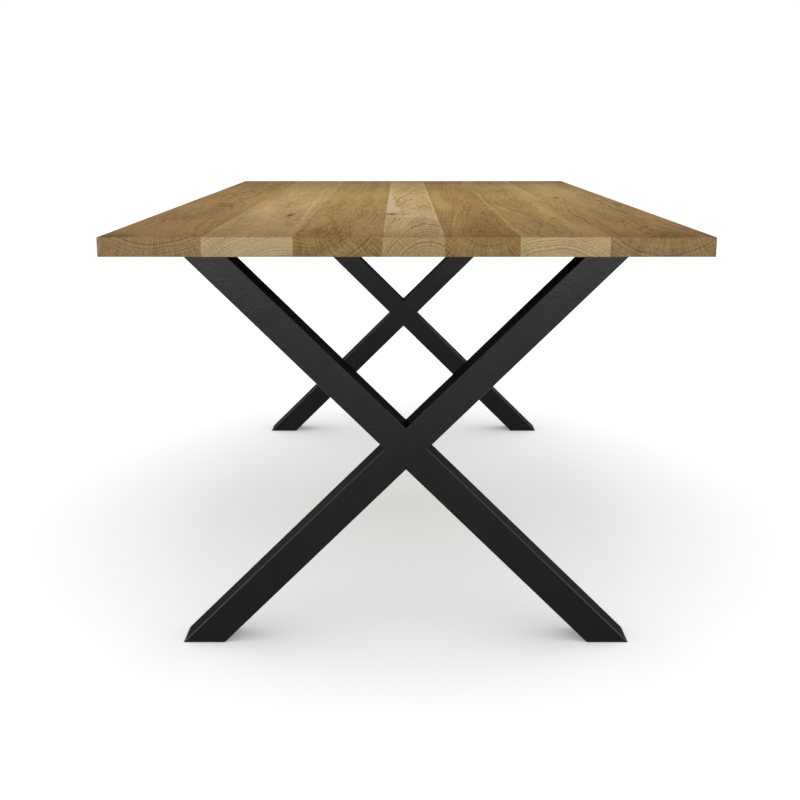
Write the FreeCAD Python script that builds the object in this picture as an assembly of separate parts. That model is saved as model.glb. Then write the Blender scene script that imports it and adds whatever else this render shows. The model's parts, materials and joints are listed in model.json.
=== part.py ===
import FreeCAD, Part
import math
import os

# Sawbuck table: a solid oak top on two welded steel X frames.
# Millimetres. X runs across the table, Y along it and Z up, from the floor under its middle.

# Oak top: full-length staves, glued edge to edge
table_length = 2000.0
table_height = 760.0  # floor to top face
top_thickness = 32.0
stave_widths = [168.0, 148.0, 145.0, 101.0, 122.0, 145.0, 171.0]  # left to right
top_arris = 1.5  # rounding of the outer edges

# X frames: rectangular steel tube, cut level at both ends
frame_inset = 144.0  # table end to the frame's outer face
foot_spread = 823.0  # outside width of a frame on the floor
crossing_height = 369.3  # floor to the crossing of the leg centre lines
tube_face = 54.0  # across the leg, seen from the table's end
tube_depth = 74.0  # along the table
tube_wall = 2.0
tube_corner = 2.0  # outside corner radius
weld_leg = 3.0  # side of a fillet weld under the mounting plate
crossing_weld = 1.5  # side of the fine seam in each corner of the crossing

# Foot caps: plastic plugs in the open tube ends
cap_flange = 3.0  # from the floor to the tube's end
cap_plug = 16.0  # height of the plug inside the tube
cap_wall = 2.5
cap_clearance = 0.2  # between plug and tube

# Mounting plates on top of the frames
plate_thickness = 6.0
plate_width = 100.0
plate_corner = 8.0  # clipped off each corner, both ways
bolt_pitch = 240.0  # from the plate's middle to its outer bolts
bolt_rows = 66.0  # between the two middle bolts
slot_travel = 6.0  # free travel of an outer bolt or screw in its slot, either way
hole_clearance = 0.5  # around a bolt or screw in its hole

# Wide-headed furniture bolts and threaded inserts of the mounting plates
bolt_diameter = 8.0
bolt_head_diameter = 17.0
bolt_head_height = 2.5
bolt_socket = 5.0  # across flats
bolt_socket_depth = 2.0
bolt_engagement = 17.0  # length of bolt in the insert
insert_diameter = 12.0
insert_length = 20.0
thread_clearance = 0.1  # between bolt, insert, screw and oak

# Stiffener: a steel channel let into the underside, across the staves
stiffener_length = 760.0
stiffener_width = 40.0
stiffener_depth = 15.0
stiffener_wall = 3.0
stiffener_bend = 3.0  # outside bend radius
groove_clearance = 0.6  # beside and above the channel's flanges
groove_end_room = 8.0  # for the oak to move past the channel's ends

# Pan-head screws of the stiffener, flat-ended, in threaded oak
screw_pitch = 300.0  # from the middle screw to the outer ones
screw_diameter = 5.0
screw_length = 18.0  # under the head
screw_head_diameter = 9.5
screw_head_height = 3.2
screw_socket = 4.0  # across flats
screw_socket_depth = 2.0

table_width = sum(stave_widths)
underside = table_height - top_thickness
plate_underside = underside - plate_thickness
frame_middle = table_length / 2 - frame_inset - tube_depth / 2
leg_angle = math.atan2(crossing_height, foot_spread / 2) + math.asin(
    tube_face / 2 / math.hypot(crossing_height, foot_spread / 2)
)
leg_run = 1 / math.tan(leg_angle)  # sideways travel of a leg for each mm of height
leg_tilt = 90 - math.degrees(leg_angle)
LEFT, RIGHT = -1, 1
UP = FreeCAD.Vector(0, 0, 1)
ACROSS = FreeCAD.Vector(1, 0, 0)
ALONG = FreeCAD.Vector(0, 1, 0)


def point(x, y, z):
    return FreeCAD.Vector(x, y, z)


def rounded_wire(corners, radii):
    """Closed flat wire through the corners, each rounded to its own radius."""
    edges, ends = [], []
    for i, corner in enumerate(corners):
        back = (corners[i - 1] - corner).normalize()
        ahead = (corners[(i + 1) % len(corners)] - corner).normalize()
        half_angle = back.getAngle(ahead) / 2
        reach = radii[i] / math.tan(half_angle)
        start, end = corner + back * reach, corner + ahead * reach
        if radii[i] > 0:
            nearest = radii[i] / math.sin(half_angle) - radii[i]
            middle = corner + (back + ahead).normalize() * nearest
            edges.append(Part.Arc(start, middle, end).toShape())
        ends.append((start, end))
    for (_, end), (start, _) in zip(ends, ends[1:] + ends[:1]):
        edges.append(Part.LineSegment(end, start).toShape())
    return Part.Wire(Part.__sortEdges__(edges))


def prism(corners, along, radii=None):
    """Solid drawn from a flat outline along a vector."""
    wire = rounded_wire(corners, radii or [0] * len(corners))
    return Part.Face(wire).extrude(along)


def bar(width, depth, radius, low, high):
    """Upright solid of rounded rectangular section about the Z axis."""
    x, y = width / 2, depth / 2
    corners = [point(i, j, low) for i, j in ((-x, -y), (x, -y), (x, y), (-x, y))]
    return prism(corners, UP * (high - low), [radius] * 4)


def turned(profile):
    """Solid turned about the Z axis from (radius, height) points."""
    corners = [point(radius, 0, height) for radius, height in profile]
    wire = rounded_wire(corners, [0] * len(corners))
    return Part.Face(wire).revolve(point(0, 0, 0), UP, 360)


def at(shape, x, y, z):
    """Copy of a shape, moved to a place."""
    return shape.translated(point(x, y, z))


def slab(low, high):
    """Everything in the frames' reach between two heights."""
    reach = foot_spread + table_length
    return Part.makeBox(2 * reach, 2 * reach, high - low, point(-reach, -reach, low))


def slotted_hole(x, y, travel, diameter, low, high):
    """Cutter for a round hole or, with free travel across the table, a slot."""
    radius, height = diameter / 2, high - low
    cutter = Part.makeCylinder(radius, height, point(x - travel, y, low))
    if travel > 0:
        end = Part.makeCylinder(radius, height, point(x + travel, y, low))
        bridge = Part.makeBox(2 * travel, diameter, height, point(x - travel, y - radius, low))
        cutter = cutter.multiFuse([bridge, end]).removeSplitter()
    return cutter


# X frames


def leg_x(height, rises):
    """Where the centre line of a leg that rises to one side is at a height."""
    return rises * (height - crossing_height) * leg_run


def along_leg(shape, rises, y):
    """A shape about the Z axis, laid along a leg with its origin at the crossing."""
    turn = FreeCAD.Rotation(ALONG, rises * leg_tilt)
    return shape.transformed(FreeCAD.Placement(point(0, y, crossing_height), turn).toMatrix())


def leg_prism(inset, rises, y):
    """Long solid of the leg's section, drawn in from the tube's outside by an inset."""
    reach = 2 * table_height
    radius = max(tube_corner - inset, 0)
    section = bar(tube_face - 2 * inset, tube_depth - 2 * inset, radius, -reach, reach)
    return along_leg(section, rises, y)


def leg_tube(rises, y):
    """Full-length tube, cut level over the foot cap and under the mounting plate."""
    tube = leg_prism(0, rises, y).cut(leg_prism(tube_wall, rises, y))
    return tube.common(slab(cap_flange, plate_underside))


def half_legs(rises, y):
    """Upper and lower part of the leg that makes way for the through leg."""
    passage = along_leg(bar(tube_face, 2 * tube_depth, 0, -table_height, table_height), -rises, y)
    parts = leg_tube(rises, y).cut(passage).Solids
    return sorted(parts, key=lambda part: -part.CenterOfMass.z)


def crossing_fillets(y):
    """Fillet welds in the four corners of the crossing, along the tube's depth."""
    climb = point(math.cos(leg_angle), 0, math.sin(leg_angle))
    fall = point(climb.x, 0, -climb.z)
    middle = point(0, y - tube_depth / 2 + tube_corner, crossing_height)
    beside = ACROSS * (tube_face / 2 / climb.z)
    above = UP * (tube_face / 2 / climb.x)
    beads = []
    for root, one_way, other_way in (
        (middle + above, climb, -fall),
        (middle - above, -climb, fall),
        (middle + beside, climb, fall),
        (middle - beside, -climb, -fall),
    ):
        corners = [root, root + one_way * crossing_weld, root + other_way * crossing_weld]
        beads.append(prism(corners, ALONG * (tube_depth - 2 * tube_corner)))
    return beads


def crossing_strips(rises, y):
    """Flush welds in the rounded corners of the through leg, where the half legs meet it."""
    leg = tube_corner * (2 - math.sqrt(2))
    length = (tube_face - 2 * tube_corner) / math.sin(2 * leg_angle)
    strips = []
    for side in (LEFT, RIGHT):
        for face in (-1, 1):
            root = point(side * tube_face / 2, face * tube_depth / 2, -length / 2)
            corners = [root, root - ACROSS * side * leg, root - ALONG * face * leg]
            strips.append(along_leg(prism(corners, UP * length), rises, y))
    return strips


def plate_fillets(y):
    """Fillet welds under the mounting plate, on the front and back of each leg."""
    length = (tube_face - 2 * tube_corner) / math.sin(leg_angle) - weld_leg * leg_run
    beads = []
    for rises in (LEFT, RIGHT):
        start = leg_x(plate_underside - weld_leg / 2, rises) - length / 2
        for face in (-1, 1):
            root = point(start, y + face * tube_depth / 2, plate_underside)
            corners = [root, root + ALONG * face * weld_leg, root - UP * weld_leg]
            beads.append(prism(corners, ACROSS * length))
    return beads


def foot_cap(stands, y):
    """Plug with a flange that carries the leg's outline down to the floor."""
    rises, inside, plug_top = -stands, tube_wall + cap_clearance, cap_flange + cap_plug
    flange = leg_prism(0, rises, y).common(slab(0, cap_flange))
    wall = leg_prism(inside, rises, y).cut(leg_prism(inside + cap_wall, rises, y))
    plug = wall.common(slab(cap_flange, plug_top))
    return flange.fuse(plug).removeSplitter().Solids[0]


# Mounting plates and what fastens them


def bolt_places(y):
    """Bolt places of a mounting plate: x, y and free travel across the table."""
    middle = [(0, y + row * bolt_rows / 2, 0) for row in (-1, 1)]
    outer = [(side * bolt_pitch, y, slot_travel) for side in (LEFT, RIGHT)]
    return middle + outer


def mounting_plate(y):
    """Flat steel over both leg ends, slotted so that the oak can move across its width."""
    x = leg_x(plate_underside, RIGHT) + tube_face / 2 / math.sin(leg_angle)
    half = plate_width / 2
    corner = [(x, half - plate_corner), (x - plate_corner, half)]
    outline = corner + [(-i, j) for i, j in corner[::-1]]
    outline += [(-i, -j) for i, j in outline]
    plate = prism([point(i, y + j, plate_underside) for i, j in outline], UP * plate_thickness)
    diameter = bolt_diameter + 2 * hole_clearance
    holes = [slotted_hole(*place, diameter, plate_underside, underside) for place in bolt_places(y)]
    return plate.cut(holes)


def socket(across_flats, low, depth):
    """Cutter for a hexagon socket in the face of a head at a height."""
    radius = across_flats / math.sqrt(3)
    turns = [math.radians(60 * i) for i in range(6)]
    hexagon = [point(radius * math.cos(turn), radius * math.sin(turn), low) for turn in turns]
    return prism(hexagon, UP * depth)


def bolt():
    """Wide flat-headed bolt with a hexagon socket, its head under the origin."""
    radius, head = bolt_diameter / 2, bolt_head_diameter / 2
    length = plate_thickness + bolt_engagement
    profile = [
        (0, length),
        (radius, length),
        (radius, 0),
        (head, 0),
        (head, -bolt_head_height),
        (0, -bolt_head_height),
    ]
    return turned(profile).cut(socket(bolt_socket, -bolt_head_height, bolt_socket_depth))


def insert():
    """Threaded insert, standing on the origin."""
    inner, outer = bolt_diameter / 2 + thread_clearance, insert_diameter / 2
    return turned([(inner, 0), (outer, 0), (outer, insert_length), (inner, insert_length)])


# Stiffener


def channel(clearance, end_room):
    """Channel on its back, its back flush with the underside, or the groove that takes it."""
    side = stiffener_width / 2 + clearance
    inner = stiffener_width / 2 - stiffener_wall - clearance
    top = stiffener_depth + clearance
    half = [(side, 0), (side, top), (inner, top), (inner, stiffener_wall)]
    half_radii = [0 if clearance else stiffener_bend, 0, 0, 0]
    outline = half + [(-y, z) for y, z in reversed(half)]
    start = -stiffener_length / 2 - end_room
    corners = [point(start, y, underside + z) for y, z in outline]
    return prism(corners, ACROSS * (-2 * start), half_radii + half_radii[::-1])


def screw_places():
    """Screw places of the stiffener: x, y and free travel across the table."""
    return [(column * screw_pitch, 0, abs(column) * slot_travel) for column in (-1, 0, 1)]


def stiffener():
    """Steel channel with a round hole in the middle and slots towards its ends."""
    diameter, top = screw_diameter + 2 * hole_clearance, underside + stiffener_wall
    holes = [slotted_hole(*place, diameter, underside, top) for place in screw_places()]
    return channel(0, 0).cut(holes)


def screw():
    """Pan-head screw with a hexagon socket, its head under the origin."""
    radius, head = screw_diameter / 2, screw_head_diameter / 2
    profile = [
        (0, screw_length),
        (radius, screw_length),
        (radius, 0),
        (head, 0),
        (head, -screw_head_height),
        (0, -screw_head_height),
    ]
    return turned(profile).cut(socket(screw_socket, -screw_head_height, screw_socket_depth))


# Oak top


def oak_panel():
    """The glued-up top, with its outer arrises rounded and its underside machined."""
    corner = point(-table_width / 2, -table_length / 2, underside)
    blank = Part.makeBox(table_width, table_length, top_thickness, corner)
    cutters = [channel(groove_clearance, groove_end_room)]
    for y in (-frame_middle, frame_middle):
        for x, row, _ in bolt_places(y):
            radius, depth = insert_diameter / 2 + thread_clearance, insert_length + thread_clearance
            cutters.append(Part.makeCylinder(radius, depth, point(x, row, underside)))
    for x, y, _ in screw_places():
        radius, depth = screw_diameter / 2 + thread_clearance, screw_length + thread_clearance
        cutters.append(Part.makeCylinder(radius, depth, point(x, y, underside)))
    arrises = [edge for edge in blank.Edges if edge.BoundBox.ZLength < top_thickness]
    return blank.makeFillet(top_arris, arrises).cut(cutters)


def staves():
    """The panel, parted along its glue lines."""
    panel, parts, left = oak_panel(), [], -table_width / 2
    for width in stave_widths:
        corner = point(left, -table_length, underside)
        strip = Part.makeBox(width, 2 * table_length, top_thickness, corner)
        parts.append(panel.common(strip).Solids[0])
        left += width
    return parts


def save(node, *solids):
    """Write one sub-part, a single solid or a group of them."""
    shape = solids[0] if len(solids) == 1 else Part.makeCompound(list(solids))
    shape.exportStep(f"parts/{node}.step")
    state = "valid" if shape.isValid() else "not valid"
    print(f"{node}: {len(shape.Solids)} solids, {shape.Volume:.0f} mm3, {state}")


os.makedirs("parts", exist_ok=True)

for number, stave in enumerate(staves(), start=1):
    save(f"stave_{number}", stave)

for frame, y in (("front", -frame_middle), ("rear", frame_middle)):
    upper_half, lower_half = half_legs(RIGHT, y)
    places = bolt_places(y)
    save(f"{frame}_through_leg", leg_tube(LEFT, y))
    save(f"{frame}_upper_half_leg", upper_half)
    save(f"{frame}_lower_half_leg", lower_half)
    save(f"{frame}_welds", *crossing_fillets(y), *crossing_strips(LEFT, y), *plate_fillets(y))
    save(f"{frame}_left_foot_cap", foot_cap(LEFT, y))
    save(f"{frame}_right_foot_cap", foot_cap(RIGHT, y))
    save(f"{frame}_mounting_plate", mounting_plate(y))
    save(f"{frame}_bolts", *(at(bolt(), x, row, plate_underside) for x, row, _ in places))
    save(f"{frame}_inserts", *(at(insert(), x, row, underside) for x, row, _ in places))

save("stiffener", stiffener())
save("stiffener_screws", *(at(screw(), x, y, underside) for x, y, _ in screw_places()))
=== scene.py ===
# %% [markdown]
# # Sawbuck table
# A dining table: a top of seven oak staves on two X-shaped frames of black steel tube.
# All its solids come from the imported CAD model, which is loaded as a fixed frame. They already
# have the real shapes, down to rounded arrises, welds and bolts, so no piece is modelled twice.
# What Blender adds is how each surface looks, and the floor, the light and the camera.

# %% Load the table
import json
import math
from types import SimpleNamespace

import bmesh
import bpy
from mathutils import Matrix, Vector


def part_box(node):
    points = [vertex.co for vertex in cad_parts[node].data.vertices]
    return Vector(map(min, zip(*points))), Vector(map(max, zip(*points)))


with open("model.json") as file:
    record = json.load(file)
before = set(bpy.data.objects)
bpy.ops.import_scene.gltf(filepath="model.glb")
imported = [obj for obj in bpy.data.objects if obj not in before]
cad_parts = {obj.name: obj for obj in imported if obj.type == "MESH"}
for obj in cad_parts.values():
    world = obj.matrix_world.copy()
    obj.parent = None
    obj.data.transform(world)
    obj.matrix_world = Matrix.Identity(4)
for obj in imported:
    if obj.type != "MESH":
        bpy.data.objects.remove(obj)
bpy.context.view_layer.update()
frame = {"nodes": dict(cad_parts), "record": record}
scene = bpy.context.scene
pieces = frame["nodes"]

# %% [markdown]
# The table is seen from one end, a little above its top. The camera's place, tilt and lens were
# worked out from the edges of the top and the legs: with the table's real sizes known, only one
# camera puts all these edges where the picture has them. It looks straight along the table, so
# tilting it down is its only turn.

# %% Camera
PICTURE_WIDTH = 800  # pixels
SENSOR_WIDTH = 36  # mm
FOCAL_LENGTH = 1257.49  # pixels
CAMERA_PLACE = (-0.0108, -3.0340, 0.9398)
CAMERA_TILT = math.radians(12.4317)  # down from level

lens = bpy.data.cameras.new("camera")
lens.sensor_width = SENSOR_WIDTH
lens.lens = FOCAL_LENGTH * SENSOR_WIDTH / PICTURE_WIDTH
camera = bpy.data.objects.new("camera", lens)
camera.location = CAMERA_PLACE
camera.rotation_euler = (math.pi / 2 - CAMERA_TILT, 0, 0)
scene.collection.objects.link(camera)
scene.camera = camera
print("lens", round(lens.lens, 2), "mm")

# %% [markdown]
# A few small helpers serve every material. Colours are written as sRGB hex codes, as a colour
# picker shows them, but shaders work in linear light, so `linear` converts them. `add` makes a
# node, sets its properties, and fills its inputs with plain values or with links.

# %% Helpers for materials
COLOUR_A, COLOUR_B, COLOUR_OUT = 6, 7, 2  # a Mix node's sockets for colours
MM = 0.001


def linear(code):
    """Linear colour of an sRGB hex code."""
    channels = [int(code[i : i + 2], 16) / 255 for i in (1, 3, 5)]
    return [c / 12.92 if c <= 0.04045 else ((c + 0.055) / 1.055) ** 2.4 for c in channels] + [1]


def add(tree, kind, inputs=None, **settings):
    """Adds a node to a tree, with its settings, input values and links."""
    node = tree.nodes.new("ShaderNode" + kind)
    for name, value in settings.items():
        setattr(node, name, value)
    for name, value in (inputs or {}).items():
        if isinstance(value, bpy.types.NodeSocket):
            tree.links.new(value, node.inputs[name])
        else:
            node.inputs[name].default_value = value
    return node


def new_material(name):
    """A new material, its node tree and its shader."""
    material = bpy.data.materials.new(name)
    material.use_nodes = True
    return material, material.node_tree, material.node_tree.nodes["Principled BSDF"]


view = scene.view_settings
view.view_transform = "Standard"
print("colours are shown as they are written:", view.view_transform)

# %% [markdown]
# The floor is one pale sheet. A plane would do for the picture, but a wide disc reaches the horizon
# from every side.

# %% Floor
FLOOR_REACH = 60  # metres

shape = bmesh.new()
bmesh.ops.create_circle(shape, cap_ends=True, segments=64, radius=FLOOR_REACH)
floor_mesh = bpy.data.meshes.new("floor")
shape.to_mesh(floor_mesh)
shape.free()
floor = bpy.data.objects.new("floor", floor_mesh)
scene.collection.objects.link(floor)
print("floor", FLOOR_REACH, "m to each side")

# %% [markdown]
# A studio floor this bright burns out to white in the picture and keeps only the soft shadow under
# the table. More lamps would do that, but they would bleach the oak as well. So the floor is matt
# paper that catches the shadow, with a glow of its own that shows to the camera and in reflections
# and lights nothing. The glow is weakest under the table's middle, grows towards the ends and half
# as fast towards the sides, and fades close to the feet: that shaping is a painted shadow over the
# real one.

# %% The floor's paper
PAPER = "#f6f8fa"  # a little cool, against the warm light that comes off the oak
GLOW_COLOUR = "#fdfeff"
GLOW_NEAR, GLOW_FAR = 0.305, 0.525
GLOW_GROWS = 0, 1.2  # metres from the middle towards the ends
GLOW_SHAPE = (0.5, 1, 0)  # how fast it grows towards the sides, the ends and upwards
FOOT_SHADE = 0.6  # metres from a foot within which the glow fades, a painted contact shadow


def showing(tree):
    """1 for rays that show a surface, straight, mirrored or through glass, and 0 for others."""
    ray = add(tree, "LightPath").outputs
    shown = ray["Is Camera Ray"]
    for way in ("Is Glossy Ray", "Is Transmission Ray"):
        shown = add(tree, "Math", {0: shown, 1: ray[way]}, operation="ADD").outputs[0]
    return shown


paper, tree, shader = new_material("pale_floor")
place = add(tree, "TexCoord").outputs["Object"]
# painted shadow: the glow is weaker under the table than far from it
away = add(tree, "VectorMath", {0: place, 1: GLOW_SHAPE}, operation="MULTIPLY").outputs[0]
away = add(tree, "VectorMath", {0: away}, operation="LENGTH").outputs["Value"]
glow = {"Value": away, "From Min": GLOW_GROWS[0], "From Max": GLOW_GROWS[1]}
glow = add(tree, "MapRange", {**glow, "To Min": GLOW_NEAR, "To Max": GLOW_FAR}).outputs[0]
# painted contact shadow: ambient occlusion dims the glow near the feet
open_floor = add(tree, "AmbientOcclusion", {"Distance": FOOT_SHADE}, samples=8).outputs["AO"]
open_floor = add(tree, "Math", {0: open_floor}, operation="SQRT").outputs[0]
for share in (open_floor, showing(tree)):
    glow = add(tree, "Math", {0: glow, 1: share}, operation="MULTIPLY").outputs[0]
tree.links.new(glow, shader.inputs["Emission Strength"])
shader.inputs["Emission Color"].default_value = linear(GLOW_COLOUR)
shader.inputs["Base Color"].default_value = linear(PAPER)
shader.inputs["Roughness"].default_value = 1
shader.inputs["Specular IOR Level"].default_value = 0
floor_mesh.materials.append(paper)
print("glow of the floor", GLOW_NEAR, "to", GLOW_FAR)

# %% [markdown]
# The light is that of a white studio. The world gives even light from all around, and shows as
# plain white behind the table. A soft box over its middle lights the top a little more there.
# Two low strips far behind the camera show as a sheen on the upper legs, and a weaker one nearer to
# the table carries it on downwards. A long strip to each side lifts the table's long sides. Spot
# lamps would be simpler, but they cast hard shadows, and large lamps cast only soft ones.

# %% Light
WORLD_LIGHT = 0.6
# width and height (metres), place (metres), turn (degrees), and how bright the lamp's face is
LAMPS = {
    "soft_box_overhead": (1.2, 0.8, (0, 0.04, 1.75), (0, 0, 0), 2.12),
    "strip_front_left": (1.15, 0.4, (-1.1, -6.1, 0.4), (90, 0, 0), 28),
    "strip_front_right": (1.15, 0.4, (1.1, -6.1, 0.4), (90, 0, 0), 28),
    "strip_front_low": (0.8, 0.2, (0, -3.2, 0.12), (90, 0, 0), 5.7),
    "strip_left": (0.4, 7, (-4.5, 0, 1.7), (0, -70, 0), 2),
    "strip_right": (0.4, 7, (4.5, 0, 1.7), (0, 70, 0), 2),
}

world = bpy.data.worlds.new("white_studio")
world.use_nodes = True
scene.world = world
tree = world.node_tree
background = tree.nodes["Background"]
level = add(tree, "MapRange", {"Value": showing(tree), "To Min": WORLD_LIGHT, "To Max": 1})
tree.links.new(level.outputs[0], background.inputs["Strength"])
background.inputs["Color"].default_value = linear("#ffffff")

for name, (width, height, place, turn, brightness) in LAMPS.items():
    lamp = bpy.data.lights.new(name, "AREA")
    lamp.shape = "RECTANGLE"
    lamp.size, lamp.size_y = width, height
    lamp.energy = brightness * math.pi * width * height  # a larger face takes more power
    box = bpy.data.objects.new(name, lamp)
    box.location = place
    box.rotation_euler = [math.radians(angle) for angle in turn]
    box.visible_camera = False
    scene.collection.objects.link(box)
print(len(LAMPS), "soft lamps and the world light", WORLD_LIGHT)

# %% [markdown]
# The frames are steel tube under black powder coat. The powder is sprayed on and baked, and it
# melts into a matt black skin with a fine ripple, like orange peel. One rough shader could stand
# for it, but such a coat shows two things at once: a deep black, and a faint sheen of the lamps
# where the ripple is smooth. So there is a matt black, and a thin shiny coat that covers only a
# share of it. The ripple is about 0.6 mm across on the real coat. It is drawn at 6 mm, or it would
# be lost in the picture.

# %% Black powder coat
POWDER_RIPPLE = 6 * MM
POWDER_CLOUD = 60 * MM  # from where the powder lies thin to where it lies thick

powder_coat, tree, shader = new_material("black_powder_coat")
spot = add(tree, "TexCoord").outputs
place, normal = spot["Object"], spot["Normal"]
ripple = {"Vector": place, "Scale": 1 / POWDER_RIPPLE, "Detail": 2}
ripple = add(tree, "TexNoise", ripple).outputs["Fac"]
cloud = {"Vector": place, "Scale": 1 / POWDER_CLOUD, "Detail": 3}
cloud = add(tree, "TexNoise", cloud).outputs["Fac"]
inks = {0: ripple, COLOUR_A: linear("#151515"), COLOUR_B: linear("#191919")}
tone = add(tree, "Mix", inks, data_type="RGBA")
tree.links.new(tone.outputs[COLOUR_OUT], shader.inputs["Base Color"])
shader.inputs["Roughness"].default_value = 0.7
shader.inputs["Specular IOR Level"].default_value = 0
shader.inputs["Coat Roughness"].default_value = 0.26
shader.inputs["Coat IOR"].default_value = 1.6
print("powder coat ripple", POWDER_RIPPLE, "m")

# %% [markdown]
# Where the legs cross, the welds are ground flush, and the coat fills the fine grooves beside them.
# The mesh has these grooves. They could be taken out of it, but it is the welded joint's real
# shape, so only the coat is levelled: within the diamond of the crossing it is told to face
# straight to the front or back. `past` is 0 in that diamond and 1 everywhere else.

# %% The flush crossing
CROSSING, CROSSING_REACH = (0, 0, 0.3693), 0.038  # metres: its middle, and from there to a corner
RIPPLE_HEIGHT, RIPPLE_SHOWN = 0.5 * MM, 0.4

past = add(tree, "VectorMath", {0: place, 1: CROSSING}, operation="SUBTRACT").outputs[0]
past = add(tree, "VectorMath", {0: past}, operation="ABSOLUTE").outputs[0]
past = add(tree, "VectorMath", {0: past, 1: (1, 0, 1)}, operation="DOT_PRODUCT").outputs["Value"]
past = add(tree, "Math", {0: past, 1: CROSSING_REACH}, operation="GREATER_THAN").outputs[0]
flush = add(tree, "CombineXYZ", {"X": past, "Y": 1, "Z": past}).outputs[0]
flush = add(tree, "VectorMath", {0: normal, 1: flush}, operation="MULTIPLY").outputs[0]
bump = {"Height": ripple, "Strength": RIPPLE_SHOWN, "Distance": RIPPLE_HEIGHT, "Normal": flush}
tree.links.new(add(tree, "Bump", bump).outputs[0], shader.inputs["Coat Normal"])
print("coat levelled", CROSSING_REACH, "m around the crossing")

# %% [markdown]
# How much of the coat shines depends on where it is. On the faces to the front and back it is about
# an eighth, a little more where the powder lies thick. On the faces to the sides it is next to
# nothing, but more on the lower legs, where shoes rub them. The rounded arrises, where the melting
# powder ran thin and smooth, shine most. An arris is found by its normal: it turns away from the
# front without reaching the side.

# %% Where the coat shines
SHINE_THIN, SHINE_THICK = 0.1, 0.155  # shares of the faces to the front and back
SHINE_SIDE, SHINE_RUBBED = 0.016, 0.055  # shares of the faces to the sides
RUBBED = 0.3, 0.42  # metres up, from where shoes rub to where they don't reach
SHINE_EDGE = 0.7
EDGE_TURN = 0.025, 0.15  # how far an arris has turned, from its first shine to its full one

front = add(tree, "MapRange", {"Value": cloud, "To Min": SHINE_THIN, "To Max": SHINE_THICK})
height = add(tree, "SeparateXYZ", {0: place}).outputs["Z"]
side = {"Value": height, "From Min": RUBBED[0], "From Max": RUBBED[1]}
side = add(tree, "MapRange", {**side, "To Min": SHINE_RUBBED, "To Max": SHINE_SIDE})
facing = add(tree, "SeparateXYZ", {0: normal}).outputs["Y"]
face = {"Value": add(tree, "Math", {0: facing}, operation="ABSOLUTE").outputs[0]}
face = {**face, "To Min": side.outputs[0], "To Max": front.outputs[0]}
face = add(tree, "MapRange", face).outputs[0]
edge = add(tree, "Math", {0: facing, 1: 0.5}, operation="PINGPONG").outputs[0]
edge = add(tree, "Math", {0: edge, 1: past}, operation="MULTIPLY").outputs[0]
shine = {"Value": edge, "From Min": EDGE_TURN[0], "From Max": EDGE_TURN[1]}
shine = add(tree, "MapRange", {**shine, "To Min": face, "To Max": SHINE_EDGE})
tree.links.new(shine.outputs[0], shader.inputs["Coat Weight"])
print("powder coat of", len(tree.nodes), "nodes")

# %% [markdown]
# The foot caps are moulded black polyethylene, a softer and more matt black than the coat. Seen
# from a step away a plain black would do, but close by the mould's fine grain breaks the light. It
# is about 0.4 mm on real caps, and drawn at 1 mm so that it shows.

# %% Moulded polyethylene
MOULD_GRAIN = 1 * MM
MOULD_DEPTH, MOULD_SHOWN = 0.1 * MM, 0.4

polyethylene, tree, shader = new_material("moulded_polyethylene")
place = add(tree, "TexCoord").outputs["Object"]
mould = {"Vector": place, "Scale": 1 / MOULD_GRAIN, "Detail": 3}
mould = add(tree, "TexNoise", mould).outputs["Fac"]
inks = {0: mould, COLOUR_A: linear("#131313"), COLOUR_B: linear("#202020")}
tone = add(tree, "Mix", inks, data_type="RGBA")
bump = add(tree, "Bump", {"Height": mould, "Strength": MOULD_SHOWN, "Distance": MOULD_DEPTH})
tree.links.new(tone.outputs[COLOUR_OUT], shader.inputs["Base Color"])
tree.links.new(bump.outputs[0], shader.inputs["Normal"])
shader.inputs["Roughness"].default_value = 0.6
shader.inputs["IOR"].default_value = 1.51
shader.inputs["Specular IOR Level"].default_value = 0.3
print("mould grain", MOULD_GRAIN, "m")

# %% [markdown]
# Bolts, inserts and screws are zinc-plated steel: bright, a little bluish, and mottled where the
# passivated zinc took on unevenly. The patches are some 3 mm across. Tone and gloss could each have
# a noise, but one drives both, because the duller patches are also the paler ones.

# %% Zinc-plated steel
ZINC_PATCH = 3 * MM
ZINC_ROUGHNESS = 0.22, 0.45

zinc, tree, shader = new_material("bright_zinc_plate")
place = add(tree, "TexCoord").outputs["Object"]
patches = {"Vector": place, "Scale": 1 / ZINC_PATCH, "Detail": 4}
patches = add(tree, "TexNoise", patches).outputs["Fac"]
inks = {0: patches, COLOUR_A: linear("#a9adb1"), COLOUR_B: linear("#d3d5d6")}
tone = add(tree, "Mix", inks, data_type="RGBA")
gloss = {"Value": patches, "To Min": ZINC_ROUGHNESS[0], "To Max": ZINC_ROUGHNESS[1]}
gloss = add(tree, "MapRange", gloss)
tree.links.new(tone.outputs[COLOUR_OUT], shader.inputs["Base Color"])
tree.links.new(gloss.outputs[0], shader.inputs["Roughness"])
shader.inputs["Metallic"].default_value = 1
print("zinc patches", ZINC_PATCH, "m")
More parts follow.
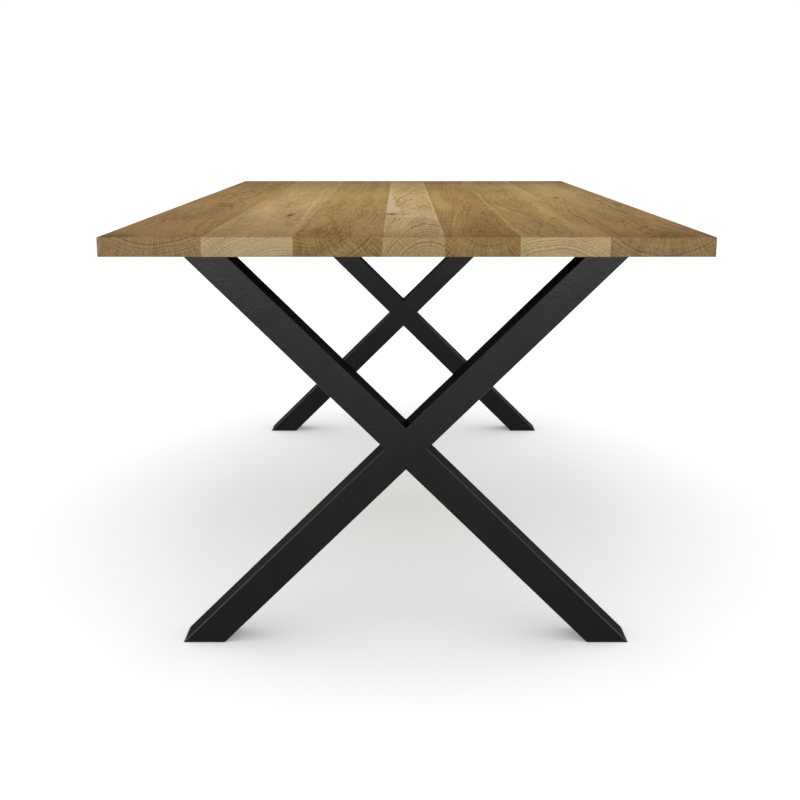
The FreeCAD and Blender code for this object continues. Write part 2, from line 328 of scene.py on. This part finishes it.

# %% [markdown]
# Each stave is its own piece of a tree, so the seven don't share one pattern. A trunk's growth
# rings are tubes around its pith, and a stave is a plank cut somewhere from it. A flat pattern
# could be laid on each face, but it would break at the edges. If the ring pattern is a solid one,
# worked out from how far a point is from the pith, the arches on the top and the arcs on the end
# grain come from the same rings and meet at the edge, as they do in wood. The table below says
# where each stave's pith runs, how it leans along the length, how wide the rings are, and what
# tones, knots and streaks the wood has.

# %% The seven staves
# pith: mm to the right of the stave's middle and above its mid-thickness, at mid-length
# lean: mm the pith moves to the right and up for each metre along the table
# ring: mm of growth in a year
# wander: mm that the fibres stray from straight, in long waves
# curl: the same in short waves, at the near end and at the far one
# lines: how clearly the rings show
# tones: darkest and lightest wood along the grain; ends: the same on the end grain
# painted shade towards the ends: how much it darkens the wood there
# knots: x, y, half width, half length (mm, from the table's middle), turn (degrees), rings pushed
#   aside, darkness
# streaks: x, y, half width, half length, turn, tone, how strong, and how soft its edge is
STAVES = {
    "stave_1": dict(
        pith=(10, 150), lean=(8, 14), ring=3.4, wander=14, curl=(2, 5), lines=0.6,
        tones=("#785c35", "#a68656"), ends=("#6f5737", "#977b55"), painted_end_shade=0.1,
        knots=[],
        streaks=[
            (-420, -800, 110, 230, 0, "#ae8a58", 0.5, 0.9),
            (-480, -985, 45, 60, 0, "#5e431f", 0.6, 0.9),
            (-430, -560, 40, 90, 0, "#775a33", 0.3, 0.9),
            (-368, -830, 2.5, 150, -13, "#c0a474", 0.4, 0.7),
            (-346, -978, 7, 16, 0, "#553c1a", 0.8, 0.7),
            (-350, 100, 26, 760, 0, "#ae8f5d", 0.4, 0.9),
        ],
    ),
    "stave_2": dict(
        pith=(48, -140), lean=(-10, 9), ring=3.2, wander=12, curl=(1, 4), lines=0.25,
        tones=("#8c724a", "#c1a574"), ends=("#8b7855", "#bca87f"), painted_end_shade=0.15,
        knots=[(-230, -508, 5.5, 42, -6.5, 2, 1.0)],
        streaks=[
            (-203, -250, 4, 900, 1, "#c9b583", 0.4, 0.7),
            (-290, -400, 40, 260, 0, "#c2ac78", 0.35, 0.7),
            (-258, -900, 90, 200, 0, "#ac885a", 0.5, 0.9),
            (-322, 160, 20, 620, 0, "#95784b", 0.5, 0.9),
            (-229, -490, 12, 75, -6, "#8c6d3d", 0.5, 0.9),
            (-215, 180, 34, 330, 0, "#a0845a", 0.45, 0.9),
            (-258, 820, 80, 420, 0, "#94784a", 0.4, 0.9),
        ],
    ),
    "stave_3": dict(
        pith=(-56, 70), lean=(-6, -20), ring=3.2, wander=16, curl=(5, 10), lines=0.6,
        tones=("#80653a", "#b1925d"), ends=("#644b29", "#93754c"), painted_end_shade=0.35,
        knots=[],
        streaks=[
            (-149, -890, 9, 110, 0, "#593d18", 0.4, 0.7),
            (-120, -850, 6, 170, 6, "#593d18", 0.4, 0.7),
            (-140, -640, 4, 140, 8, "#6b4d24", 0.5, 0.7),
            (-150, -380, 30, 260, 0, "#8a6a3c", 0.3, 0.9),
            (-166, -80, 16, 240, 0, "#b39663", 0.4, 0.9),
        ],
    ),
    "stave_4": dict(
        pith=(24, -95), lean=(0, -46), ring=4.4, wander=6, curl=(2, 14), lines=0.8,
        tones=("#937b52", "#cab182"), ends=("#7f6946", "#ab936a"), painted_end_shade=0.55,
        knots=[(-29, -478, 10, 21, 0, 2, 1.0)],
        streaks=[
            (-39, 250, 8, 420, 0, "#b9a57b", 0.9, 0.3),
            (-36, -80, 14, 300, 1, "#bea985", 0.9, 0.3),
            (-28, -320, 19, 125, 2, "#c2a889", 0.9, 0.3),
            (-2, -470, 17, 36, 0, "#9c8349", 0.5, 0.8),
            (5, -537, 52, 36, 0, "#c8b385", 0.7, 0.9),
            (40, 80, 34, 580, 0, "#a0885a", 0.5, 0.9),
            (60, 0, 3, 1000, 0, "#c9b583", 0.5, 0.7),
            (-36, -880, 2.5, 60, 0, "#d3c09a", 0.7, 0.8),
            (15, 760, 70, 480, 0, "#a0885a", 0.6, 0.9),
        ],
    ),
    "stave_5": dict(
        pith=(44, 75), lean=(40, 10), ring=3.4, wander=12, curl=(4, 8), lines=0.7,
        tones=("#7c5f35", "#ab8b56"), ends=("#654c29", "#96784b"), painted_end_shade=0.5,
        knots=[],
        streaks=[
            (140, -720, 34, 330, -3, "#6f5229", 0.45, 0.9),
            (92, -620, 3, 240, -4, "#bb9e66", 0.5, 0.6),
            (80, 0, 20, 560, 0, "#b5a068", 0.45, 0.9),
            (166, 60, 24, 520, 0, "#84663c", 0.45, 0.9),
        ],
    ),
    "stave_6": dict(
        pith=(-8, -120), lean=(6, 10), ring=3.2, wander=12, curl=(1, 5), lines=0.5,
        tones=("#80653a", "#b1925d"), ends=("#8b7754", "#bba57b"), painted_end_shade=0.15,
        knots=[],
        streaks=[
            (298, -480, 12, 500, 0, "#bda46d", 0.4, 0.9),
            (187, -300, 3, 900, 0, "#bfa66e", 0.4, 0.7),
            (245, -420, 26, 330, 0, "#84663b", 0.35, 0.9),
            (300, -900, 40, 160, 0, "#b29261", 0.4, 0.9),
            (318, 400, 34, 640, 0, "#bfa575", 0.5, 0.9),
        ],
    ),
    "stave_7": dict(
        pith=(-5, 140), lean=(-8, 22), ring=3.4, wander=16, curl=(4, 10), lines=0.9,
        tones=("#7a5f37", "#a98959"), ends=("#6c5334", "#937650"), painted_end_shade=0.5,
        knots=[(370, 86, 9, 45, 0, 2, 0.7), (455, -390, 14, 110, 0, 4, 0.25)],
        streaks=[
            (395, 440, 90, 660, 0, "#bba774", 0.5, 0.9),
            (442, -620, 20, 140, 0, "#6c502d", 0.45, 0.9),
        ],
    ),
}
print(len(STAVES), "staves, rings from", min(s["ring"] for s in STAVES.values()), "mm wide")

# %% [markdown]
# The oak is built up in steps, and each step adds to `wood`, which holds what is known of a stave
# so far. Three helpers come first. `grain` is noise stretched along the fibres, of a real size, and
# shifted from stave to stave so that no two look alike. `from_spot` says how far a point is from an
# oval patch on the top, for knots and streaks. `total` adds up what makes the wood lighter or
# darker.

# %% Helpers for oak
APART = (13.7, 5.3, 0)  # from one stave's noise to the next one's, in sizes of the pattern


def grain(wood, size, vector, detail, output="Fac"):
    """Noise of a size in metres across and along the fibres."""
    spot = {
        "Vector": vector,
        "Location": [step * wood.number for step in APART],
        "Scale": (1 / size[0], 1 / size[1], 1 / size[0]),
    }
    spot = add(wood.tree, "Mapping", spot).outputs[0]
    noise = {"Vector": spot, "Scale": 1, "Detail": detail}
    return add(wood.tree, "TexNoise", noise).outputs[output]


def from_spot(wood, x, y, half_width, half_length, turn, depth):
    """Distance from a spot on the top face, which is 1 at the edge of an oval patch."""
    oval = {
        "Vector": wood.fibres,
        "Location": (x * MM, y * MM, wood.high.z),
        "Rotation": (0, 0, math.radians(turn)),
        "Scale": (half_width * MM, half_length * MM, depth),
    }
    oval = add(wood.tree, "Mapping", oval, vector_type="TEXTURE").outputs[0]
    return add(wood.tree, "VectorMath", {0: oval}, operation="LENGTH").outputs["Value"]


def total(wood, *parts):
    """0.5 and the share of each part in how far it is from its usual value."""
    level = 0.5
    for part, share, usual in parts:
        part = {0: part, 1: share, 2: -share * usual}
        part = add(wood.tree, "Math", part, operation="MULTIPLY_ADD").outputs[0]
        level = add(wood.tree, "Math", {0: part, 1: level}, operation="ADD").outputs[0]
    return level


print("noise of neighbouring staves lies", APART, "sizes apart")

# %% [markdown]
# Fibres run along a stave, but never quite straight: they stray in long waves, and they curl in
# short ones where a branch was near. The later patterns could each be bent by themselves. It is
# simpler to move the points at which they are all read, and they then agree with each other. The
# curls grow from the near end to the far one.

# %% Fibres
WANDER = (160 * MM, 420 * MM)  # sizes across and along the fibres
CURL = (22 * MM, 170 * MM)


def lay_fibres(wood):
    """The places of points if the fibres were straight."""
    tree, look = wood.tree, wood.look
    reach = look["wander"] * MM
    stray = {0: grain(wood, WANDER, wood.place, 3, "Color")}
    stray = {**stray, 1: (2 * reach, 0, 2 * reach), 2: (-reach, 0, -reach)}
    stray = add(tree, "VectorMath", stray, operation="MULTIPLY_ADD").outputs[0]
    strayed = add(tree, "VectorMath", {0: wood.place, 1: stray}, operation="ADD").outputs[0]
    near, far = (2 * reach * MM for reach in look["curl"])
    reach = {"Value": wood.along, "From Min": wood.low.y, "From Max": wood.high.y}
    reach = add(tree, "MapRange", {**reach, "To Min": near, "To Max": far}).outputs[0]
    curl = {0: grain(wood, CURL, wood.place, 2), 1: 0.5}
    curl = add(tree, "Math", curl, operation="SUBTRACT").outputs[0]
    curl = add(tree, "Math", {0: curl, 1: reach}, operation="MULTIPLY").outputs[0]
    curl = add(tree, "CombineXYZ", {"Z": curl}).outputs[0]
    wood.fibres = add(tree, "VectorMath", {0: strayed, 1: curl}, operation="ADD").outputs[0]


print("fibres stray in waves of", WANDER[1], "m and curl in waves of", CURL[1], "m")

# %% [markdown]
# Oak is ring-porous: each spring the tree lays down a band of wide pores, which looks darker, and
# then denser, smoother wood. A point's distance from the pith, counted in rings, is the year in
# which it grew. A knot is the root of a branch, and the rings swell around it. Good and lean years
# make the rings uneven, and group them in darker and lighter bands.

# %% Growth rings
FLAT = 1000  # metres: a scale so long that a pattern doesn't change in that direction
KNOT_SWELL = 5  # sizes of the knot within which it pushes the rings aside
KNOT_CORE = 0.3, 1.3  # sizes of the knot over which its dark core fades
UNEVEN_PACE, UNEVEN_YEARS = 0.4, 3  # changes of growth in a year, and how many rings they shift
BANDS = 0.6  # darker and lighter bands in a year
SPRING = 0.35  # the share of spring wood in a ring


def grow_rings(wood):
    """The years of growth, and the spring wood, the bands and the cores of knots in them."""
    tree, look = wood.tree, wood.look
    middle = (wood.low + wood.high) / 2
    sideways, upwards = look["pith"]
    turn_right, rise = (math.atan(slope / 1000) for slope in look["lean"])
    ring = look["ring"] * MM
    trunk = {
        "Vector": wood.fibres,
        "Location": (middle.x + sideways * MM, 0, middle.z + upwards * MM),
        "Rotation": (rise, 0, -turn_right),
        "Scale": (ring, FLAT, ring),
    }
    wood.trunk = add(tree, "Mapping", trunk, vector_type="TEXTURE").outputs[0]
    years = add(tree, "VectorMath", {0: wood.trunk}, operation="LENGTH").outputs["Value"]

    wood.cores = []
    for *patch, push, darkness in look["knots"]:
        away = from_spot(wood, *patch, FLAT)
        swell = {"Value": away, "From Max": KNOT_SWELL, "To Min": push, "To Max": 0}
        swell = add(tree, "MapRange", swell, interpolation_type="SMOOTHSTEP").outputs[0]
        years = add(tree, "Math", {0: years, 1: swell}, operation="ADD").outputs[0]
        core = {"Value": away, "From Min": KNOT_CORE[0], "From Max": KNOT_CORE[1]}
        core = {**core, "To Min": darkness, "To Max": 0}
        wood.cores.append(add(tree, "MapRange", core, interpolation_type="SMOOTHSTEP").outputs[0])

    uneven = {"W": years, "Scale": UNEVEN_PACE, "Detail": 1}
    uneven = add(tree, "TexNoise", uneven, noise_dimensions="1D").outputs["Fac"]
    years = {0: uneven, 1: UNEVEN_YEARS, 2: years}
    wood.years = add(tree, "Math", years, operation="MULTIPLY_ADD").outputs[0]
    bands = {"W": wood.years, "Scale": BANDS, "Detail": 2}
    wood.bands = add(tree, "TexNoise", bands, noise_dimensions="1D").outputs["Fac"]
    within = add(tree, "Math", {0: wood.years}, operation="FRACT").outputs[0]
    spring = {"Value": within, "From Max": SPRING, "To Min": 1, "To Max": 0}
    wood.spring = add(tree, "MapRange", spring).outputs[0]


print("spring wood is", SPRING, "of a ring")

# %% [markdown]
# A stave's tone is built up from a dark line at the start of each ring, from bands of darker and
# lighter years, from single fibres, and from soft clouds and flecks. All of them move one number
# between the stave's darkest and its lightest wood, so the tone never leaves that range. The end
# grain has its own mixture, with stronger lines and fibres, and a painted shade that makes it
# lighter towards the top and darker towards the bottom.

# %% Tones
CLOUD = (45 * MM, 380 * MM)  # sizes across and along the fibres
FLECK = (11 * MM, 45 * MM)
FIBRE = (2.2 * MM, 180 * MM)
CLOUDED = 0.35, 0.65  # from dark clouds to light ones
LINES_CLEAR = 1, 0.3  # how clear the lines are in dark clouds and in light ones


def tone_wood(wood):
    """How light the wood is, along the grain and on the ends."""
    tree, lines = wood.tree, wood.look["lines"]
    cloud = grain(wood, CLOUD, wood.place, 3)
    fleck = grain(wood, FLECK, wood.fibres, 3)
    fibre = grain(wood, FIBRE, wood.fibres, 2)
    clear = {"Value": cloud, "From Min": CLOUDED[0], "From Max": CLOUDED[1]}
    clear = {**clear, "To Min": LINES_CLEAR[0], "To Max": LINES_CLEAR[1]}
    clear = add(tree, "MapRange", clear).outputs[0]
    spring = add(tree, "Math", {0: wood.spring, 1: clear}, operation="MULTIPLY").outputs[0]
    # painted shade: the end grain is drawn darker towards the bottom and lighter towards the top
    height = {"Value": wood.upright, "From Min": wood.low.z, "From Max": wood.high.z}
    height = add(tree, "MapRange", height).outputs[0]
    # each part, its share in the tone, and its usual value
    wood.tone = total(
        wood,
        (wood.bands, 0.8 * lines, 0.5),
        (spring, -1.3 * lines, 0.11),
        (cloud, 0.9, 0.5),
        (fleck, 0.9, 0.5),
        (fibre, 1.1, 0.5),
    )
    wood.end_tone = total(
        wood,
        (wood.bands, 0.6, 0.5),
        (wood.spring, -1.2, 0.18),
        (cloud, 0.8, 0.5),
        (fibre, 2.1, 0.5),
        (height, 0.3, 0.5),
    )
    wood.layers.append((wood.tone, linear(wood.look["tones"][1]), "MIX"))


print("fibres", FIBRE[0], "m wide")

# %% [markdown]
# Over the tone come layers, as a painter would glaze them: each has a share, a colour, and a way to
# mix it with what lies below. The first are pale streaks of sapwood, darker streaks of heartwood,
# and the cores of the knots. They could be painted by hand, but as soft ovals that follow the
# fibres they reach into the wood: a streak a little way, and a knot right through.

# %% Streaks and knots
STREAK_DEPTH = 14 * MM
FADE_IN = 3  # a streak's soft edge reaches this many times as far inwards as outwards
KNOT_COLOUR = "#452d10"


def add_streaks(wood):
    """Layers for the streaks and for the cores of the knots."""
    for *patch, code, strength, soft in wood.look["streaks"]:
        share = {"Value": from_spot(wood, *patch, STREAK_DEPTH)}
        share = {**share, "From Min": 1 - soft, "From Max": 1 + soft / FADE_IN}
        share = {**share, "To Min": strength, "To Max": 0}
        share = add(wood.tree, "MapRange", share, interpolation_type="SMOOTHSTEP")
        wood.layers.append((share.outputs[0], linear(code), "MIX"))
    for core in wood.cores:
        wood.layers.append((core, linear(KNOT_COLOUR), "MIX"))


print(sum(len(look["streaks"]) for look in STAVES.values()), "streaks")

# %% [markdown]
# The wood is darker near both ends. That is painted shade, and its layer multiplies the colours
# below it. The ends themselves are cut across the fibres and show the rings as fine arcs, in tones
# of their own. They could be a second material, but the arris between top and end is rounded. So
# the surface's normal decides how much of each shows.

# %% Ends
PAINTED_SHADE_REACH = 220 * MM  # from the ends, how far the painted shade reaches
PAINTED_SHADE_COLOUR = "#c2aa8c"
END_TURN = 0.1, 0.5  # the normal's part along the table, from the first end grain to nothing else


def add_ends(wood):
    """Layers for the painted shade near the ends and for the end grain."""
    tree, look, end = wood.tree, wood.look, wood.high.y
    # painted shade: the wood is darkened towards both ends of the stave
    from_middle = add(tree, "Math", {0: wood.along}, operation="ABSOLUTE").outputs[0]
    painted_shade = {"Value": from_middle, "From Min": end - PAINTED_SHADE_REACH, "From Max": end}
    painted_shade = add(tree, "MapRange", {**painted_shade, "To Max": look["painted_end_shade"]}).outputs[0]
    wood.layers.append((painted_shade, linear(PAINTED_SHADE_COLOUR), "MULTIPLY"))

    facing = add(tree, "SeparateXYZ", {0: wood.normal}).outputs["Y"]
    facing = add(tree, "Math", {0: facing}, operation="ABSOLUTE").outputs[0]
    facing = {"Value": facing, "From Min": END_TURN[0], "From Max": END_TURN[1]}
    wood.facing = add(tree, "MapRange", facing).outputs[0]
    dark, light = map(linear, look["ends"])
    inks = {0: wood.end_tone, COLOUR_A: dark, COLOUR_B: light}
    end_grain = add(tree, "Mix", inks, data_type="RGBA").outputs[COLOUR_OUT]
    wood.layers.append((wood.facing, end_grain, "MIX"))


print("oil soaks in", PAINTED_SHADE_REACH, "m from the ends")

# %% [markdown]
# Pores are short dark dashes along the fibres, most of them in the spring wood. Rays are thin pale
# sheets that run out from the pith, and show as fine hatching on the end grain. Real pores are
# 0.3 mm wide and rays about as thin, so both are drawn coarser, to show at all. A pore is what is
# left of a noise that is cut off just below its peaks. A ray is a noise that changes quickly around
# the pith, and slowly outwards and along.

# %% Pores and rays
PORE = (0.9 * MM, 16 * MM)  # sizes across and along the fibres
PORE_PEAKS, PORE_DARKNESS = (0.58, 0.72), 0.5
PORES_IN_SUMMER = 0.2  # as a share of those in spring wood
PORE_COLOUR = "#4d3921"
RAY = (1 * MM, 30 * MM)  # sizes across, and both outwards and along
RAY_PEAKS = 0.4, 0.7
RAYS_ON_TOP, RAYS_ON_ENDS = 0.08, 0.3
RAY_COLOUR = "#c2ab7c"


def add_pores(wood):
    """A layer for the pores."""
    tree = wood.tree
    pore = {"Value": grain(wood, PORE, wood.fibres, 1), "To Max": PORE_DARKNESS}
    pore = {**pore, "From Min": PORE_PEAKS[0], "From Max": PORE_PEAKS[1]}
    pore = add(tree, "MapRange", pore).outputs[0]
    crowd = {"Value": wood.spring, "To Min": PORES_IN_SUMMER, "To Max": 1}
    crowd = add(tree, "MapRange", crowd).outputs[0]
    wood.pores = add(tree, "Math", {0: pore, 1: crowd}, operation="MULTIPLY").outputs[0]
    wood.layers.append((wood.pores, linear(PORE_COLOUR), "MIX"))


def add_rays(wood):
    """A layer for the rays."""
    tree, ring = wood.tree, wood.look["ring"] * MM
    from_pith = math.hypot(*wood.look["pith"]) * MM
    out = add(tree, "SeparateXYZ", {0: wood.trunk}).outputs
    around = add(tree, "Math", {0: out["X"], 1: out["Z"]}, operation="ARCTAN2").outputs[0]
    sheet = {"X": around, "Y": wood.along, "Z": wood.years}
    sheet = {0: add(tree, "CombineXYZ", sheet).outputs[0]}
    sheet = {**sheet, 1: (from_pith / RAY[0], 1 / RAY[1], ring / RAY[1])}
    sheet = add(tree, "VectorMath", sheet, operation="MULTIPLY").outputs[0]
    rays = add(tree, "TexNoise", {"Vector": sheet, "Scale": 1, "Detail": 1}).outputs["Fac"]
    shown = {"Value": wood.facing, "To Min": RAYS_ON_TOP, "To Max": RAYS_ON_ENDS}
    shown = add(tree, "MapRange", shown).outputs[0]
    rays = {"Value": rays, "From Min": RAY_PEAKS[0], "From Max": RAY_PEAKS[1], "To Max": shown}
    rays = add(tree, "MapRange", rays).outputs[0]
    wood.layers.append((rays, linear(RAY_COLOUR), "MIX"))


print("pores", PORE[1], "m long, rays", RAY[0], "m thick")

# %% [markdown]
# Now the steps are run for each stave, and the layers are mixed from the bottom up. The oil is a
# matt one: it leaves the wood nearly without a sheen, and a little glossier where it is light and
# dense. The pores are sunk by a bump, because they are too fine to model.

# %% Oiled oak
PORE_DEPTH, PORE_SHOWN = 0.2 * MM, 0.3
OAK_ROUGHNESS = 0.9, 0.8  # of the darkest and the lightest wood


def oiled_oak(name, number, look):
    """The material of one stave."""
    material, tree, shader = new_material(f"oiled_oak_{number}")
    low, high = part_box(name)
    wood = SimpleNamespace(tree=tree, number=number, look=look, low=low, high=high, layers=[])
    spot = add(tree, "TexCoord").outputs
    wood.place, wood.normal = spot["Object"], spot["Normal"]
    wood.along, wood.upright = add(tree, "SeparateXYZ", {0: wood.place}).outputs[1:]
    for step in (lay_fibres, grow_rings, tone_wood, add_streaks, add_ends, add_pores, add_rays):
        step(wood)

    colour = linear(look["tones"][0])
    for share, ink, way in wood.layers:
        inks = {0: share, COLOUR_A: colour, COLOUR_B: ink}
        mix = add(tree, "Mix", inks, data_type="RGBA", blend_type=way)
        colour = mix.outputs[COLOUR_OUT]
    bump = {"Height": wood.pores, "Strength": PORE_SHOWN, "Distance": PORE_DEPTH}
    bump = add(tree, "Bump", bump, invert=True)
    gloss = {"Value": wood.tone, "To Min": OAK_ROUGHNESS[0], "To Max": OAK_ROUGHNESS[1]}
    gloss = add(tree, "MapRange", gloss)
    tree.links.new(colour, shader.inputs["Base Color"])
    tree.links.new(gloss.outputs[0], shader.inputs["Roughness"])
    tree.links.new(bump.outputs[0], shader.inputs["Normal"])
    shader.inputs["IOR"].default_value = 1.5
    shader.inputs["Specular IOR Level"].default_value = 0.02
    return material


oaks = {
    name: oiled_oak(name, number, look)
    for number, (name, look) in enumerate(STAVES.items(), start=1)
}
print({name: len(oak.node_tree.nodes) for name, oak in oaks.items()}, "nodes")

# %% [markdown]
# The finishes go on by material slot: the record says for each piece what it is made of. A piece
# from the CAD model keeps its mesh, and only its material is swapped.

# %% Give every piece its finish
FINISHES = {
    "powder_coated_steel": powder_coat,
    "polyethylene": polyethylene,
    "zinc_plated_steel": zinc,
}
for part in frame["record"]["subparts"]:
    name = part["node"]
    finish = oaks.get(name) or FINISHES[part["material_slot"]]
    pieces[name].data.materials.clear()
    pieces[name].data.materials.append(finish)
print({name: piece.data.materials[0].name for name, piece in sorted(pieces.items())})
